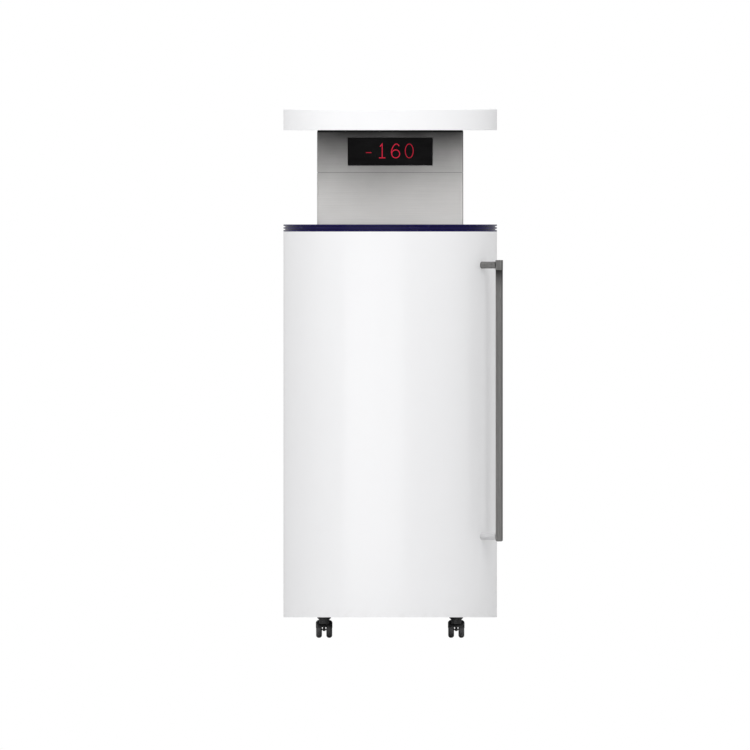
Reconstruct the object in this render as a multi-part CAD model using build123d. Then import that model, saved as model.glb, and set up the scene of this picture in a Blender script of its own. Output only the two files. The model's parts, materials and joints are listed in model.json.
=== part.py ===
from build123d import *
from math import atan2, cos, radians, sin, sqrt
import os

# Free-standing liquid nitrogen storage dewar on four twin-wheel casters.
# A round sheet-steel cabinet holds a vacuum-insulated vessel. A square brushed-steel neck housing
# stands on the cabinet's deck and carries a temperature display, and a round lid with a tapered
# neck plug closes the mouth on two rear hinges. A long grip bar stands off the cabinet's wall.
#
# Frame: millimetres, +Z up, -Y is the front (the display side), +X is the grip-bar side.
# The origin is on the floor, on the cabinet's vertical axis.

# Cabinet
BODY_R = 255.0  # outer radius of the cabinet, trim ring and lid
SHELL_T = 2.0
BASE_Z = 49.0  # lower edge of the cabinet wall
BODY_TOP_Z = 970.0  # upper edge of the cabinet wall
BASE_RECESS = 3.0  # the base plate sits this far up inside the wall
BASE_T = 6.0
BASE_RIM_H = 20.0
BASE_RIM_T = 2.0
FIT_GAP = 0.3  # gap between fixed pieces that slide together

# Trim ring: three ridges with two grooves between them
RING_H = 17.0
RING_GROOVE_H = 2.4
RING_GROOVE_DEPTH = 4.0
RING_IN_R = 240.0
RING_SPIGOT_H = 10.0

# Deck
DECK_T = 3.0
DECK_R = 245.0
DECK_TOP_Z = BODY_TOP_Z + RING_H
DECK_HOLE_R = 134.0
DECK_SCREW_R = 2.0
DECK_SCREW_HEAD_R = 4.0
DECK_SCREW_HEAD_H = 2.6
DECK_SCREW_REACH = 11.0
DECK_SCREW_X = 100.0

# Neck housing: a lower sleeve and an upper display head, both square tubes of sheet steel
NECK_SIDE = 349.0
NECK_T = 1.5
NECK_CORNER_R = 4.0
NECK_H = 225.0
MOUTH_Z = DECK_TOP_Z + NECK_H  # underside of the closed lid
SEAM_Z = 1111.0
SEAM_GAP = 0.8
GASKET_H = 5.0
GASKET_W = 22.0
HEAD_TOP_Z = MOUTH_Z - GASKET_H
COLLAR_T = 6.0
LIP_W = 14.0  # folded lips that carry the collar and take the deck screws
SEAM_FRAME_T = 2.0
SEAM_FRAME_H = 22.0
NECK_HALF = NECK_SIDE / 2
NECK_IN = NECK_SIDE - 2 * NECK_T

# Vacuum vessel
JACKET_R = 237.0
JACKET_T = 3.0
JACKET_LOW_Z = 72.0
JACKET_HIGH_Z = 985.0
JACKET_NECK_R = 131.0
INNER_R = 205.0
INNER_T = 2.0
INNER_LOW_Z = 112.0
INNER_HIGH_Z = 945.0
WRAP_GAP = 0.5
WRAP_T = 13.0
NECK_BORE_R = 108.0
NECK_TUBE_T = 3.0
NECK_TUBE_TOP_Z = 1197.0
NECK_FLANGE_T = 6.0
VESSEL_NECK_GAP = 0.1  # glued joint between the neck tube and the vessels
ADSORBENT_R = 60.0
ADSORBENT_H = 6.0
VALVE_Y = -185.0
VALVE_R = 14.0
VALVE_TOP_Z = 962.0
VALVE_CAP_R = 10.0
VALVE_CAP_H = 10.0
PAD_R = 135.0
PAD_HOLE_R = 95.0
PAD_TOP_Z = 95.0

# Racks, which hang by hooked rods from an index ring in the mouth
RACK_COUNT = 6
RACK_LEVELS = 10
RACK_PITCH = 56.0
RACK_W = 80.0
RACK_IN_R = 96.0  # inner face of each rack, from the vessel's axis
RACK_LOW_Z = 168.0
RACK_SHEET = 1.5
ROD_R = 2.5
ROD_CIRCLE_R = 98.5
INDEX_T = 4.0
INDEX_IN_R = 95.0
INDEX_OUT_R = 127.0
PROBE_R = 1.75
PROBE_Y = 104.5
PROBE_LOW_Z = 640.0
PROBE_OUT_Y = 141.0  # where the probe comes down outside the vessel's neck
PROBE_END_Z = 1172.0
CABLE_Z = 1146.0
CABLE_SIDE = 152.0
CABLE_FRONT_Y = -130.0

# Display
SCREEN_W = 201.0
SCREEN_H = 66.0
SCREEN_Z = 1161.0
SCREEN_FIT = 0.3
SCREEN_FLANGE = 5.0
SCREEN_BACK_T = 2.0
SCREEN_CHAMFER = 1.2
DIGIT_H = 33.0
DIGIT_W = 19.0
DIGIT_PITCH = 32.3
DIGIT_STROKE = 2.0
MINUS_W = 12.8
MINUS_DROP = 4.0  # the minus sign lies this far under the digits' middle
DIGIT_PROUD = 0.3
DIGIT_DEPTH = 2.0
BOARD_GAP = 8.0
BOARD_T = 1.6
BOARD_POST_R = 3.0
BOARD_POST_INSET = 6.0
CONNECTOR_X = 69.0
CONNECTOR_W = 18.0
CONNECTOR_H = 12.0
CONNECTOR_T = 9.0

# Power socket in the sleeve's rear wall
POWER_X = 90.0
POWER_Z = 1030.0
POWER_R = 6.0
POWER_L = 14.0
POWER_BORE_R = 2.9
POWER_PIN_R = 1.0
POWER_RIM_R = 9.0
POWER_RIM_T = 2.0

# Lid, plug and hinges
LID_H = 51.0
LID_T = 2.5
LID_EDGE_R = 3.0
LID_BASE_T = 3.0
PLUG_DEPTH = 100.0
PLUG_TOP_R = 90.0
PLUG_LOW_R = 76.0
PLUG_SKIN = 2.0
PLUG_FLANGE_R = 107.0
PLUG_FLANGE_T = 2.5
HINGE_X = 110.0
HINGE_W = 60.0
HINGE_BACK = 9.5  # pin axis behind the housing's rear wall
HINGE_DROP = 8.0  # pin axis below the lid's underside
KNUCKLE_R = 5.5
PIN_R = 2.5
LEAF_T = 2.2
HINGE_Y = NECK_HALF + HINGE_BACK
HINGE_Z = MOUTH_Z - HINGE_DROP
STOP_X = 60.0
STOP_BELOW = 60.0  # centre of each rubber stop below the pin axis
STOP_LENGTH = 11.0
STOP_R = 10.0
KNUCKLE_GAP = 0.4
HINGE_SCREW_DX = 18.0
FRAME_LEAF_H = 44.0
FRAME_SCREW_DROP = 32.0
LID_LEAF_REACH = 40.0
LID_SCREW_REACH = 28.0
LID_SCREW_CIRCLE_R = 215.0
PAN_HEAD_R = 4.0
PAN_HEAD_H = 2.3
PAN_SHANK_R = 2.0
SCREW_CLEAR = 0.2
FLAT_HEAD_R = 4.2
FLAT_HEAD_H = 2.2

# Grip bar
GRIP_AZIMUTH = 59.0  # degrees from the front towards +X
GRIP_R = 303.7  # centre of the bar from the cabinet's axis
GRIP_DEPTH = 14.5
GRIP_WIDTH = 11.0
GRIP_LOW_Z = 230.0
GRIP_TOP_Z = 902.0
GRIP_BLOCK_H = 24.0
GRIP_BLOCK_EXTRA = 0.3
GRIP_SPIGOT_R = 3.5
GRIP_SPIGOT_L = 14.0
SCREW_R = 3.0
SCREW_HOLE_R = 3.2
POST_R = 8.25
POST_SCREW_REACH = 16.0
POST_WASHER_R = 8.0
POST_WASHER_T = 1.6
POST_HEAD_R = 5.8
POST_HEAD_H = 5.0
POST_HIGH_Z = 890.0
POST_LOW_Z = 242.0

# Casters
WHEEL_R = 20.0
WHEEL_W = 14.0
WHEEL_EDGE_R = 6.2
WHEEL_GAP = 10.5
HUB_R = 5.5
DISH_R = 12.5
DISH_DEPTH = 2.5
CASTER_XY = 157.7
TRAIL = 14.0
HOOD_CLEAR = 0.6
HOOD_T = 2.1
HOOD_SHOULDER_R = 7.4
HOOD_FRONT = 166.0  # degrees of the hood's front edge, from the rear round over the top
HOOD_REAR = 50.0
WEB_T = 6.0
WEB_HUB_R = 3.9
SWIVEL_HEAD_R = 12.6
SWIVEL_HEAD_LOW_Z = 33.0
SWIVEL_GAP = 0.3
SWIVEL_LIP_T = 0.8  # the fixed flange's lip laps round the top of the swivel head
SWIVEL_LIP_H = 1.0
AXLE_R = 2.0
AXLE_INSET = 2.0
KINGPIN_R = 2.9
KINGPIN_LOW_Z = 36.2
RUNNING_CLEAR = 0.05
STEM_R = 5.0
STEM_NUT_H = 12.0
NUT_R = 9.2
NUT_H = 8.0
WASHER_R = 11.0
WASHER_T = 1.6
FLANGE_R = 16.5
FLANGE_LOW_R = 12.8
FLANGE_CONE_H = 3.6
MOUNT_LOW_Z = 43.9
CASTER_SIGNS = [(-1, -1), (1, -1), (1, 1), (-1, 1)]


def round_bar(radius, start, end):
    """A cylinder from one point to another."""
    a, b = Vector(*start), Vector(*end)
    plane = Plane(origin=a, z_dir=b - a)
    return extrude(plane * Circle(radius), amount=(b - a).length)


def cone_bar(radius_low, radius_high, low_z, high_z):
    return Pos(0, 0, (low_z + high_z) / 2) * Cone(radius_low, radius_high, high_z - low_z)


def disc(radius, low_z, high_z):
    return Pos(0, 0, (low_z + high_z) / 2) * Cylinder(radius, high_z - low_z)


def block(low, high):
    """A box from its lowest to its highest corner."""
    size = [b - a for a, b in zip(low, high)]
    middle = [(a + b) / 2 for a, b in zip(low, high)]
    return Pos(*middle) * Box(*size)


def square_tube(side, wall, corner, low_z, high_z):
    outer = RectangleRounded(side, side, corner)
    inner = RectangleRounded(side - 2 * wall, side - 2 * wall, max(corner - wall, 0.5))
    return extrude(Pos(0, 0, low_z) * (outer - inner), amount=high_z - low_z)


def fused(pieces):
    """All the pieces joined into one shape."""
    whole = pieces[0]
    for piece in pieces[1:]:
        whole += piece
    return whole


def group(solids):
    return Compound(children=list(solids))


def around(shape, count, start=0.0):
    """Copies of a shape, evenly spaced about the cabinet's axis."""
    return [Rot(0, 0, start + 360.0 * k / count) * shape for k in range(count)]


def crown_height(crown, r):
    """How far a spherical crown has risen from its pole at radius r."""
    return crown - sqrt(crown**2 - r**2)


def vessel_solid(radius, low_z, high_z, neck_r, neck_top_z, inset=0.0):
    """A filled vessel outline: a cylinder with two torispherical heads and a neck on top.

    inset moves the whole outline inwards, so that a wall is one outline less another.
    """
    r = radius - inset
    crown = 2 * radius - inset
    knuckle = 0.2 * radius - inset
    low, high = low_z + inset, high_z - inset
    neck = neck_r - inset
    rise = sqrt((crown - knuckle) ** 2 - (r - knuckle) ** 2)
    head = crown - rise
    half_turn = atan2(rise, r - knuckle) / 2
    mid = (r - knuckle + knuckle * cos(half_turn), head - knuckle * sin(half_turn))
    tangent_r = crown * (r - knuckle) / (crown - knuckle)
    tangent_h = crown_height(crown, tangent_r)
    half_r = tangent_r / 2
    half_h = crown_height(crown, half_r)
    neck_h = crown_height(crown, neck)
    start = (tangent_r + neck) / 2
    start_h = crown_height(crown, start)
    outline = [
        ThreePointArc((0, low), (half_r, low + half_h), (tangent_r, low + tangent_h)),
        ThreePointArc((tangent_r, low + tangent_h), (mid[0], low + mid[1]), (r, low + head)),
        Line((r, low + head), (r, high - head)),
        ThreePointArc((r, high - head), (mid[0], high - mid[1]), (tangent_r, high - tangent_h)),
        ThreePointArc((tangent_r, high - tangent_h), (start, high - start_h), (neck, high - neck_h)),
        Line((neck, high - neck_h), (neck, neck_top_z)),
        Line((neck, neck_top_z), (0, neck_top_z)),
        Line((0, neck_top_z), (0, low)),
    ]
    return revolve(Plane.XZ * make_face(Wire(outline)), axis=Axis.Z)


# ---------------------------------------------------------------- cabinet


def outer_shell():
    wall = disc(BODY_R, BASE_Z, BODY_TOP_Z) - disc(BODY_R - SHELL_T, BASE_Z, BODY_TOP_Z)
    for z in (POST_LOW_Z, POST_HIGH_Z):
        wall -= grip_place(z) * round_bar(SCREW_HOLE_R, (BODY_R - 10, 0, 0), (BODY_R + 10, 0, 0))
    return wall


def grip_place(z):
    """The grip bar's frame: local +X is radially outwards, the origin is on the cabinet's axis."""
    return Pos(0, 0, z) * Rot(0, 0, GRIP_AZIMUTH - 90.0)


def base_plate():
    low = BASE_Z + BASE_RECESS
    r = BODY_R - SHELL_T - FIT_GAP
    pan = disc(r, low, low + BASE_T)
    pan += disc(r, low, low + BASE_RIM_H) - disc(r - BASE_RIM_T, low, low + BASE_RIM_H)
    for sx, sy in CASTER_SIGNS:
        pan -= Pos(sx * CASTER_XY, sy * CASTER_XY, low) * Cylinder(STEM_R + 0.2, 4 * BASE_T)
    return pan


def trim_ring():
    ridge_h = (RING_H - 2 * RING_GROOVE_H) / 3
    low = BODY_TOP_Z
    ring = disc(BODY_R, low, low + RING_H)
    ring += disc(BODY_R - SHELL_T - FIT_GAP, low - RING_SPIGOT_H, low)
    for k in (0, 1):
        z = low + ridge_h + k * (ridge_h + RING_GROOVE_H)
        groove = disc(BODY_R + 1, z, z + RING_GROOVE_H)
        ring -= groove - disc(BODY_R - RING_GROOVE_DEPTH, z, z + RING_GROOVE_H)
    ring -= disc(RING_IN_R, low - RING_SPIGOT_H, low + RING_H)
    ledge_z = DECK_TOP_Z - DECK_T
    ring -= disc(DECK_R + FIT_GAP, ledge_z, DECK_TOP_Z)
    outer_edges = [e for e in ring.edges() if e.geom_type == GeomType.CIRCLE and e.radius > BODY_R - 0.1]
    return fillet(outer_edges, 0.6)


def top_deck():
    deck = disc(DECK_R, DECK_TOP_Z - DECK_T, DECK_TOP_Z)
    deck -= disc(DECK_HOLE_R, DECK_TOP_Z - DECK_T, DECK_TOP_Z)
    for place in deck_screw_places():
        deck -= place * Cylinder(DECK_SCREW_R + SCREW_CLEAR, 4 * DECK_T)
    return deck


def deck_screw_places():
    offset = NECK_HALF - NECK_T - LIP_W / 2
    flat = [(x, y) for x in (-DECK_SCREW_X, DECK_SCREW_X) for y in (-offset, offset)]
    flat += [(y, x) for x, y in flat]
    return [Pos(x, y, DECK_TOP_Z) for x, y in flat]


def deck_screws():
    """Socket-head screws that hold the sleeve's lips down on the deck."""
    head_top = NECK_T + DECK_SCREW_HEAD_H
    screw = disc(DECK_SCREW_HEAD_R, NECK_T, head_top) + disc(DECK_SCREW_R, -DECK_SCREW_REACH, NECK_T)
    screw -= Pos(0, 0, head_top) * extrude(RegularPolygon(1.6, 6), amount=-1.5)
    return group(place * screw for place in deck_screw_places())


# ---------------------------------------------------------------- vacuum vessel


def outer_vessel():
    args = (JACKET_R, JACKET_LOW_Z, JACKET_HIGH_Z, JACKET_NECK_R)
    top = NECK_TUBE_TOP_Z - NECK_FLANGE_T
    return vessel_solid(*args, top) - vessel_solid(*args, top + 1, inset=JACKET_T)


def neck_flange():
    low, high = NECK_TUBE_TOP_Z - NECK_FLANGE_T, NECK_TUBE_TOP_Z
    bore = NECK_BORE_R + NECK_TUBE_T + VESSEL_NECK_GAP
    return disc(JACKET_NECK_R, low, high) - disc(bore, low, high)


def neck_tube_low_z():
    """Where the neck tube meets the inside of the inner vessel's upper head."""
    crown = 2 * INNER_R - INNER_T
    r = NECK_BORE_R + NECK_TUBE_T
    return INNER_HIGH_Z - INNER_T - crown + sqrt(crown**2 - r**2)


def neck_tube():
    low, high = neck_tube_low_z(), NECK_TUBE_TOP_Z
    return disc(NECK_BORE_R + NECK_TUBE_T, low, high) - disc(NECK_BORE_R, low, high)


def inner_vessel():
    bore = NECK_BORE_R + NECK_TUBE_T + VESSEL_NECK_GAP
    args = (INNER_R, INNER_LOW_Z, INNER_HIGH_Z, bore + INNER_T)
    return vessel_solid(*args, INNER_HIGH_Z) - vessel_solid(*args, INNER_HIGH_Z + 1, inset=INNER_T)


def inner_outline(grow, neck_top_z):
    """The inner vessel's outline, grown outwards by a given distance."""
    neck_r = NECK_BORE_R + NECK_TUBE_T + VESSEL_NECK_GAP + INNER_T
    return vessel_solid(INNER_R + grow, INNER_LOW_Z - grow, INNER_HIGH_Z + grow, neck_r + grow, neck_top_z)


def adsorbent_pack():
    """A flat canister that hugs the inner vessel's lower head."""
    low = INNER_LOW_Z - ADSORBENT_H
    return disc(ADSORBENT_R, low, INNER_LOW_Z + ADSORBENT_H) - inner_outline(WRAP_GAP, INNER_HIGH_Z)


def insulation_wrap():
    pocket = disc(ADSORBENT_R + WRAP_GAP, INNER_LOW_Z - ADSORBENT_H - WRAP_GAP, INNER_LOW_Z + ADSORBENT_H)
    top = INNER_HIGH_Z + WRAP_T
    return inner_outline(WRAP_GAP + WRAP_T, top) - inner_outline(WRAP_GAP, top + 1) - pocket


def evacuation_valve():
    body = disc(VALVE_R, VALVE_TOP_Z - 27, VALVE_TOP_Z)
    body += disc(VALVE_CAP_R, VALVE_TOP_Z, VALVE_TOP_Z + VALVE_CAP_H)
    jacket = vessel_solid(JACKET_R, JACKET_LOW_Z, JACKET_HIGH_Z, JACKET_NECK_R, JACKET_HIGH_Z, inset=-0.1)
    return Pos(0, VALVE_Y, 0) * body - jacket


def vessel_pad():
    pad = disc(PAD_R, BASE_Z + BASE_RECESS + BASE_T, PAD_TOP_Z) - disc(PAD_HOLE_R, 0, PAD_TOP_Z)
    return pad - vessel_solid(JACKET_R, JACKET_LOW_Z, JACKET_HIGH_Z, JACKET_NECK_R, JACKET_HIGH_Z)


# ---------------------------------------------------------------- neck housing


def neck_sleeve():
    top = SEAM_Z - SEAM_GAP / 2
    sleeve = square_tube(NECK_SIDE, NECK_T, NECK_CORNER_R, DECK_TOP_Z, top)
    sleeve += square_tube(NECK_IN, LIP_W, NECK_CORNER_R - NECK_T, DECK_TOP_Z, DECK_TOP_Z + NECK_T)
    for place in deck_screw_places():
        sleeve -= place * Cylinder(DECK_SCREW_R + SCREW_CLEAR, 4 * NECK_T)
    return sleeve - power_place() * Cylinder(POWER_R + 0.1, 4 * NECK_T)


def seam_frame():
    """The square frame inside the neck housing that carries the display head on the sleeve."""
    low = SEAM_Z - SEAM_FRAME_H / 2
    return square_tube(NECK_IN - FIT_GAP, SEAM_FRAME_T, NECK_CORNER_R - NECK_T, low, low + SEAM_FRAME_H)


def display_head():
    low = SEAM_Z + SEAM_GAP / 2
    head = square_tube(NECK_SIDE, NECK_T, NECK_CORNER_R, low, HEAD_TOP_Z)
    lip_z = HEAD_TOP_Z - COLLAR_T - NECK_T
    head += square_tube(NECK_IN, LIP_W, NECK_CORNER_R - NECK_T, lip_z, lip_z + NECK_T)
    mouth = screen_front() * Rectangle(SCREEN_W + 2 * SCREEN_CHAMFER, SCREEN_H + 2 * SCREEN_CHAMFER)
    head -= extrude(screen_front() * Rectangle(SCREEN_W, SCREEN_H), amount=-2 * NECK_T)
    return head - extrude(mouth, amount=-SCREEN_CHAMFER, taper=45)


def mouth_collar():
    side = NECK_IN - FIT_GAP
    plate = RectangleRounded(side, side, NECK_CORNER_R - NECK_T) - Circle(INDEX_OUT_R - 4.0)
    return extrude(Pos(0, 0, HEAD_TOP_Z - COLLAR_T) * plate, amount=COLLAR_T)


def mouth_gasket():
    return square_tube(NECK_SIDE, GASKET_W, NECK_CORNER_R, HEAD_TOP_Z, MOUTH_Z)


def index_ring():
    low = NECK_TUBE_TOP_Z
    ring = disc(INDEX_OUT_R, low, low + INDEX_T) - disc(INDEX_IN_R, low, low + INDEX_T)
    notch = block((0, -ROD_R - 0.5, low - 1), (ROD_CIRCLE_R + ROD_R + 0.5, ROD_R + 0.5, low + INDEX_T + 1))
    for cut in around(notch, RACK_COUNT):
        ring -= cut
    return ring - block((-3.0, 0, low - 1), (3.0, INDEX_OUT_R + 1, low + INDEX_T + 1))


# ---------------------------------------------------------------- display


def screen_front():
    """Places a sketch drawn in X and Z so that it faces the front, at the screen's centre."""
    return Plane(origin=(0, -NECK_HALF, SCREEN_Z), x_dir=(1, 0, 0), z_dir=(0, -1, 0))


def digit_minus():
    return trace(Line((-MINUS_W / 2, -MINUS_DROP), (MINUS_W / 2, -MINUS_DROP)), DIGIT_STROKE)


def digit_one():
    h, w = DIGIT_H / 2, DIGIT_W / 2
    stem = Polyline((-w * 0.55, h * 0.62), (0, h), (0, -h))
    foot = Line((-w * 0.8, -h), (w * 0.8, -h))
    return trace(stem, DIGIT_STROKE) + trace(foot, DIGIT_STROKE)


def digit_zero():
    oval = Ellipse(DIGIT_W / 2 + DIGIT_STROKE / 2, DIGIT_H / 2 + DIGIT_STROKE / 2)
    return oval - Ellipse(DIGIT_W / 2 - DIGIT_STROKE / 2, DIGIT_H / 2 - DIGIT_STROKE / 2)


def digit_six():
    h, w = DIGIT_H / 2, DIGIT_W / 2
    bowl_r = DIGIT_W / 2
    bowl = Pos(0, bowl_r - h) * (Circle(bowl_r + DIGIT_STROKE / 2) - Circle(bowl_r - DIGIT_STROKE / 2))
    back = Spline((-w, bowl_r - h), (-w * 0.72, h * 0.55), (w * 0.1, h), (w * 0.85, h * 0.72))
    return bowl + trace(back, DIGIT_STROKE)


def digit_faces():
    shapes = [digit_minus(), digit_one(), digit_six(), digit_zero()]
    first = -1.5 * DIGIT_PITCH - 3.0
    return [Pos(first + k * DIGIT_PITCH, 1.5) * shape for k, shape in enumerate(shapes)]


def digit_bars(depth):
    """The digits as bars that run inwards from just proud of the panel's face."""
    plane = screen_front() * Pos(0, 0, DIGIT_PROUD)
    return [extrude(plane * face, amount=-depth - DIGIT_PROUD) for face in digit_faces()]


def display_digits():
    """Red light pipes, one per digit, let into the panel."""
    return group(digit_bars(DIGIT_DEPTH))


def display_panel():
    face = Rectangle(SCREEN_W - 2 * SCREEN_FIT, SCREEN_H - 2 * SCREEN_FIT)
    back = Rectangle(SCREEN_W + 2 * SCREEN_FLANGE, SCREEN_H + 2 * SCREEN_FLANGE)
    panel = extrude(screen_front() * face, amount=-NECK_T)
    panel += extrude(screen_front() * Pos(0, 0, -NECK_T) * back, amount=-SCREEN_BACK_T)
    for bar in digit_bars(DIGIT_DEPTH):
        panel -= bar
    return panel


def display_board():
    front_y = -NECK_HALF + NECK_T + SCREEN_BACK_T
    y = front_y + BOARD_GAP
    half_w, half_h = SCREEN_W / 2, SCREEN_H / 2
    board = block((-half_w, y, SCREEN_Z - half_h), (half_w, y + BOARD_T, SCREEN_Z + half_h))
    for sx in (-1, 1):
        for sz in (-1, 1):
            x = sx * (half_w - BOARD_POST_INSET)
            z = SCREEN_Z + sz * (half_h - BOARD_POST_INSET)
            board += round_bar(BOARD_POST_R, (x, front_y, z), (x, y, z))
    back_y = y + BOARD_T + CONNECTOR_T / 2
    return board + Pos(CONNECTOR_X, back_y, CABLE_Z) * Box(CONNECTOR_W, CONNECTOR_T, CONNECTOR_H)


def power_place():
    """The power socket's axis: local +Z is out of the sleeve's rear wall."""
    return Pos(POWER_X, NECK_HALF - NECK_T / 2, POWER_Z) * Rot(-90, 0, 0)


def power_inlet():
    body = Cylinder(POWER_R, POWER_L)
    body += Pos(0, 0, (NECK_T + POWER_RIM_T) / 2) * Cylinder(POWER_RIM_R, POWER_RIM_T)
    body -= Pos(0, 0, 3.0) * Cylinder(POWER_BORE_R, POWER_L - 2)
    return power_place() * (body + Pos(0, 0, 1.0) * Cylinder(POWER_PIN_R, POWER_L - 2))


def temperature_probe():
    """A steel sheath down the neck's rear wall, over the neck flange and down outside it."""
    over_z = NECK_TUBE_TOP_Z + PROBE_R + 0.3
    points = [
        (0, PROBE_Y, PROBE_LOW_Z),
        (0, PROBE_Y, over_z),
        (0, PROBE_OUT_Y, over_z),
        (0, PROBE_OUT_Y, PROBE_END_Z),
    ]
    path = FilletPolyline(*points, radius=3)
    return sweep(Plane(origin=points[0], z_dir=(0, 0, 1)) * Circle(PROBE_R), path=path)


def probe_cable():
    """The probe's lead, clipped round the inside of the display head to the display board."""
    board_y = -NECK_HALF + NECK_T + SCREEN_BACK_T + BOARD_GAP + BOARD_T + CONNECTOR_T
    points = [
        (0, PROBE_OUT_Y, PROBE_END_Z),
        (0, PROBE_OUT_Y, CABLE_Z),
        (CABLE_SIDE, CABLE_SIDE, CABLE_Z),
        (CABLE_SIDE, CABLE_FRONT_Y, CABLE_Z),
        (CONNECTOR_X, CABLE_FRONT_Y, CABLE_Z),
        (CONNECTOR_X, board_y, CABLE_Z),
    ]
    path = FilletPolyline(*points, radius=[20, 100, 50, 18])
    return sweep(Plane(origin=points[0], z_dir=(0, 0, -1)) * Circle(PROBE_R), path=path)


# ---------------------------------------------------------------- racks


def rack():
    """One rack on the +X side: a backed tower of shelves on a long rod with a hook."""
    low, x = RACK_LOW_Z, RACK_IN_R
    high = low + RACK_LEVELS * RACK_PITCH
    half = RACK_W / 2
    back = block((x + RACK_W - RACK_SHEET, -half, low), (x + RACK_W, half, high))
    tray = block((x, -half, 0), (x + RACK_W, half, RACK_SHEET))
    shelves = [Pos(0, 0, low + k * RACK_PITCH) * tray for k in range(RACK_LEVELS)]
    lid = Pos(0, 0, high - RACK_SHEET) * tray
    rod_top = NECK_TUBE_TOP_Z + INDEX_T + ROD_R
    c = ROD_CIRCLE_R
    rod = round_bar(ROD_R, (c, 0, high - RACK_SHEET), (c, 0, rod_top))
    hook = round_bar(ROD_R, (c, 0, rod_top), (INDEX_OUT_R - 8, 0, rod_top))
    elbow = Pos(c, 0, rod_top) * Sphere(ROD_R)
    return fused([back, *shelves, lid, rod, elbow, hook])


def racks():
    return group(around(rack(), RACK_COUNT))


# ---------------------------------------------------------------- lid


def lid_cover():
    high = MOUTH_Z + LID_H
    cover = fillet(disc(BODY_R, MOUTH_Z, high).edges().sort_by(Axis.Z)[-1], LID_EDGE_R)
    cover = fillet(cover.edges().sort_by(Axis.Z)[0], 0.8)
    return cover - disc(BODY_R - LID_T, MOUTH_Z, high - LID_T)


def lid_foam():
    return disc(BODY_R - LID_T - FIT_GAP, MOUTH_Z + LID_BASE_T, MOUTH_Z + LID_H - LID_T - FIT_GAP)


def lid_base():
    plate = disc(BODY_R - LID_T - FIT_GAP, MOUTH_Z, MOUTH_Z + LID_BASE_T)
    hole = flat_screw_outline(LID_BASE_T, SCREW_CLEAR)
    for place in lid_screw_places():
        plate -= place * hole
    return plate


def lid_screw_places():
    angles = [quarter + side for quarter in (0, 90, 180, 270) for side in (-20, 20)]
    r = LID_SCREW_CIRCLE_R
    return [Pos(r * cos(radians(a)), r * sin(radians(a)), MOUTH_Z) for a in angles]


def pan_screw(reach):
    """A pan-head screw with a cross recess: its head below Z = 0 and its shank above."""
    head = Pos(0, 0, -PAN_HEAD_H / 2) * Cylinder(PAN_HEAD_R, PAN_HEAD_H)
    head = fillet(head.edges().sort_by(Axis.Z)[0], PAN_HEAD_H * 0.45)
    slot = Box(PAN_HEAD_R * 1.1, 0.9, PAN_HEAD_H)
    head -= Pos(0, 0, -PAN_HEAD_H) * (slot + Rot(0, 0, 90) * slot)
    return head + Pos(0, 0, reach / 2) * Cylinder(PAN_SHANK_R, reach)


def flat_screw_outline(reach, grow=0.0):
    """A countersunk screw without its recess, flush at Z = 0, or the hole that takes it."""
    head = cone_bar(FLAT_HEAD_R + grow, PAN_SHANK_R + grow, 0, FLAT_HEAD_H)
    return head + disc(PAN_SHANK_R + grow, 0, reach)


def flat_screw(reach):
    slot = Box(FLAT_HEAD_R, 0.9, 2.0)
    return flat_screw_outline(reach) - slot - Rot(0, 0, 90) * slot


def lid_screws():
    """The screws under the lid: round the base plate, and through the hinges' moving leaves."""
    rim = [place * flat_screw(LID_BASE_T) for place in lid_screw_places()]
    z = MOUTH_Z - LEAF_T
    hinge = [Pos(x, HINGE_Y + LID_SCREW_REACH, z) * pan_screw(LEAF_T) for x in hinge_screw_x()]
    return group(rim + hinge)


def neck_plug():
    """The plug's tapered moulded skin, with a flange that screws under the lid."""
    low = MOUTH_Z - PLUG_DEPTH
    skin = cone_bar(PLUG_LOW_R, PLUG_TOP_R, low, MOUTH_Z)
    skin = fillet(skin.edges().sort_by(Axis.Z)[0], 8.0)
    skin += disc(PLUG_FLANGE_R, MOUTH_Z - PLUG_FLANGE_T, MOUTH_Z)
    return skin - plug_core(PLUG_SKIN)


def plug_core(skin):
    low = MOUTH_Z - PLUG_DEPTH + skin
    core = cone_bar(PLUG_LOW_R - skin, PLUG_TOP_R - skin, low, MOUTH_Z)
    return fillet(core.edges().sort_by(Axis.Z)[0], 8.0 - skin)


def plug_foam():
    return plug_core(PLUG_SKIN + FIT_GAP)


def hinge_bar(radius, x_low, x_high):
    """A cylinder on the hinge axis."""
    return round_bar(radius, (x_low, HINGE_Y, HINGE_Z), (x_high, HINGE_Y, HINGE_Z))


def pin_bore(x):
    return hinge_bar(PIN_R + RUNNING_CLEAR, x - HINGE_W, x + HINGE_W)


def hinge_screw_x():
    return [x + dx for x in (-HINGE_X, HINGE_X) for dx in (-HINGE_SCREW_DX, HINGE_SCREW_DX)]


def frame_leaf(x):
    """The fixed leaf: a plate on the head's rear wall and the two outer knuckles."""
    y0, y1 = NECK_HALF, NECK_HALF + LEAF_T
    plate_top = HINGE_Z - KNUCKLE_R - 2.0
    leaf = block((x - HINGE_W / 2, y0, HINGE_Z - FRAME_LEAF_H), (x + HINGE_W / 2, y1, plate_top))
    for side in (-1, 1):
        ends = (x + side * (HINGE_W / 6 + KNUCKLE_GAP / 2), x + side * HINGE_W / 2)
        a, b = min(ends), max(ends)
        leaf += block((a, y0, plate_top), (b, y1, HINGE_Z + 1))
        leaf += block((a, y0, HINGE_Z - 3.0), (b, HINGE_Y, HINGE_Z + 1))
        leaf += hinge_bar(KNUCKLE_R, a, b)
    leaf -= pin_bore(x)
    for dx in (-HINGE_SCREW_DX, HINGE_SCREW_DX):
        z = HINGE_Z - FRAME_SCREW_DROP
        leaf -= round_bar(PAN_SHANK_R + SCREW_CLEAR, (x + dx, y0 - 1, z), (x + dx, y1 + 1, z))
    return leaf


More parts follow.
